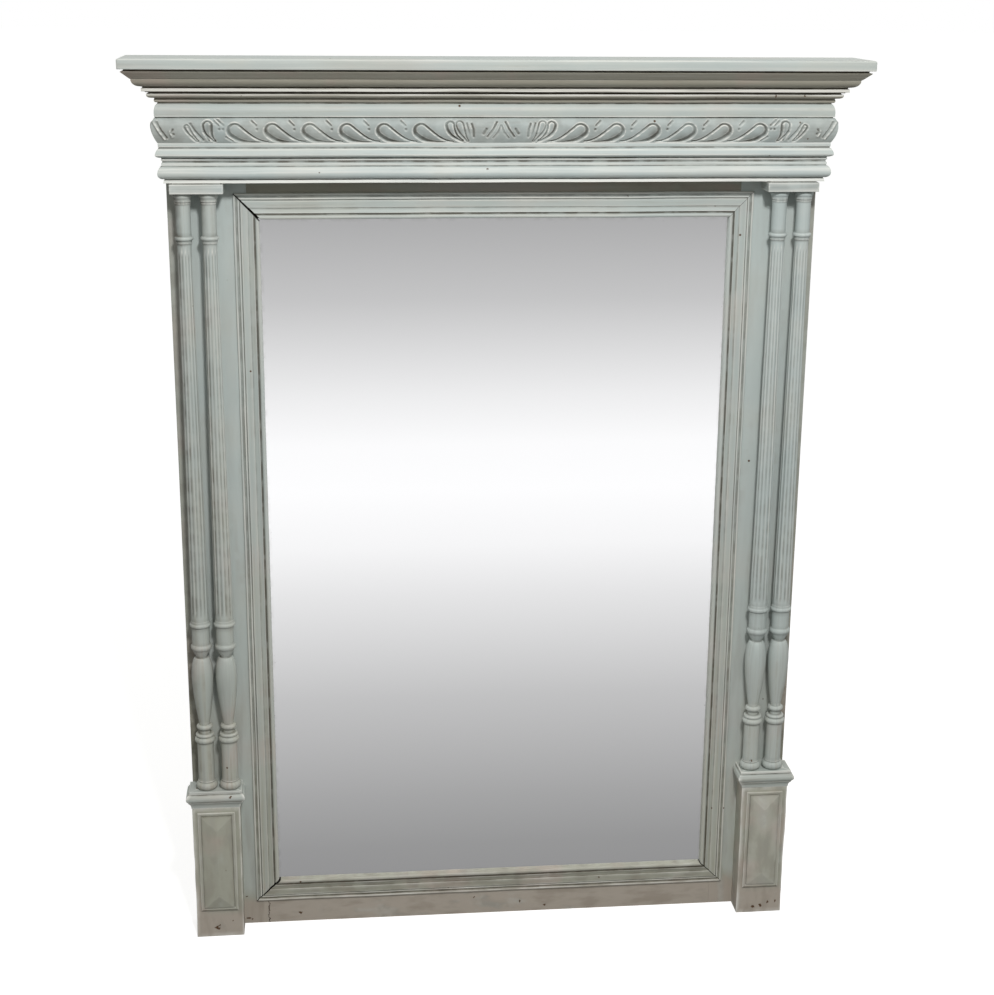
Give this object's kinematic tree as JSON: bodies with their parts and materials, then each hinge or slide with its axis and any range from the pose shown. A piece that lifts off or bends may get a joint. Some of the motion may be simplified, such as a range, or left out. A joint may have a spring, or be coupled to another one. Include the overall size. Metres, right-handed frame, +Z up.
{
  "type": "overmantel mirror",
  "caption": "Tall painted wooden mirror frame with paired turned columns on panelled pedestals and a deep carved cornice, standing on its feet against a wall.",
  "frame": {"origin": "on the floor, in the middle of the width and of the depth of the bounding box", "axes": "+Z up along the height, +X to the right across the width, +Y from the front to the back; the glass faces -Y"},
  "size_m": [1.3, 0.142, 1.682],
  "materials": {
    "grey_paint": "old grey-green paint, satin, worn along the edges",
    "shaded_paint": "the same paint, darkened and brownish with age",
    "worn_paint": "the same paint, rubbed thin over brown wood",
    "bare_wood": "unpainted old softwood",
    "silvered_glass": "silvered mirror glass",
    "iron": "old iron"
  },
  "bodies": {
    "root": {"left_stile": "grey_paint", "right_stile": "grey_paint", "top_rail": "shaded_paint", "bottom_rail": "worn_paint", "sight_top": "grey_paint", "sight_bottom": "worn_paint", "sight_left": "grey_paint", "sight_right": "grey_paint", "mirror_glass": "silvered_glass", "glass_blocks": "bare_wood", "back_board_1": "bare_wood", "back_board_2": "bare_wood", "back_board_3": "bare_wood", "back_board_4": "bare_wood", "back_board_5": "bare_wood", "back_nails": "iron", "left_pedestal": "worn_paint", "right_pedestal": "worn_paint", "left_pedestal_cap": "grey_paint", "right_pedestal_cap": "grey_paint", "left_panel_strips": "worn_paint", "right_panel_strips": "worn_paint", "left_panel_field": "worn_paint", "right_panel_field": "worn_paint", "column_left_outer": "grey_paint", "column_left_inner": "grey_paint", "column_right_inner": "grey_paint", "column_right_outer": "grey_paint", "left_abacus": "grey_paint", "right_abacus": "grey_paint", "soffit_board": "shaded_paint", "carrier_board": "bare_wood", "carrier_battens": "bare_wood", "architrave_front": "grey_paint", "architrave_left": "grey_paint", "architrave_right": "grey_paint", "frieze_front": "grey_paint", "frieze_left": "grey_paint", "frieze_right": "grey_paint", "bed_front": "grey_paint", "bed_left": "grey_paint", "bed_right": "grey_paint", "crown_front": "shaded_paint", "crown_left": "shaded_paint", "crown_right": "shaded_paint", "cornice_board": "grey_paint"}
  },
  "joints": []
}
